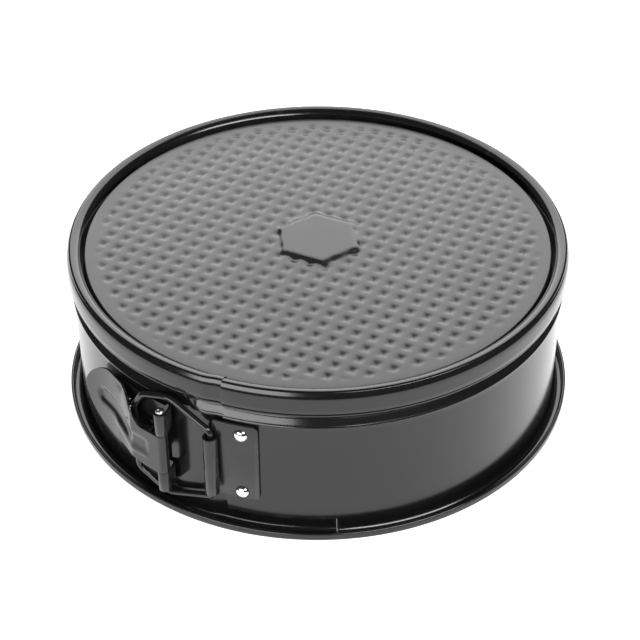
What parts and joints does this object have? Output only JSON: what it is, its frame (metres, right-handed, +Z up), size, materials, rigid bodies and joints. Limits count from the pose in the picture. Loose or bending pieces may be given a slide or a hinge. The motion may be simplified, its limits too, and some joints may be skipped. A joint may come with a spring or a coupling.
{
  "type": "springform pan",
  "caption": "Round springform cake pan with a non-stick coated ring, over-centre lever clasp and loose dimpled base plate, stored upside down.",
  "frame": {"origin": "on the pan's axis, in the plane of the mouth rim's edge, which the pan stands on: it is shown and stored upside down", "axes": "+Z up from the table, from the mouth rim towards the underside of the base; -Y towards the viewer in the picture; the clasp is on the -X -Y side, about 30 degrees left of -Y"},
  "size_m": [0.212, 0.212, 0.0706],
  "materials": {
    "ring_coating": "near-black non-stick coating, semi-gloss",
    "base_coating": "dark grey non-stick coating, satin",
    "clasp_coating": "near-black coating, satin",
    "wire_coating": "near-black coating, glossy",
    "bright_steel": "bare polished steel"
  },
  "bodies": {
    "lever_side": {"band_lever_half": "ring_coating", "lever_bracket": "clasp_coating", "lever_rivet_top": "bright_steel", "lever_rivet_bottom": "bright_steel", "hinge_pin": "bright_steel"},
    "bail_side": {"band_bail_half": "ring_coating", "bail_bracket": "clasp_coating", "bail_rivet_top": "bright_steel", "bail_rivet_bottom": "bright_steel"},
    "lever": {"lever": "clasp_coating"},
    "bail": {"bail_wire": "wire_coating"},
    "base": {"base_plate": "base_coating"}
  },
  "joints": [
    {"name": "lever_swing", "type": "hinge", "parent": "lever_side", "child": "lever", "pos_m": [-0.05933, -0.08964, 0.032], "axis": [0, 0, 1], "range_deg": [0, 115]},
    {"name": "band_open", "type": "hinge", "parent": "lever_side", "child": "bail_side", "pos_m": [0.03646, 0.10017, 0.032], "axis": [0, 0, 1], "range_deg": [0, 2.75]},
    {"name": "bail_swing", "type": "hinge", "parent": "bail_side", "child": "bail", "pos_m": [-0.04061, -0.0952, 0.032], "axis": [0, 0, 1], "range_deg": [0, 35]},
    {"name": "base_turn", "type": "hinge", "parent": "lever_side", "child": "base", "pos_m": [0, 0, 0.063], "axis": [0, 0, 1], "continuous": true}
  ],
  "couplings": [
    {"joint": "band_open", "follows": "lever_swing", "ratio": 0.0235},
    {"joint": "bail_swing", "follows": "lever_swing", "ratio": 0.303}
  ]
}
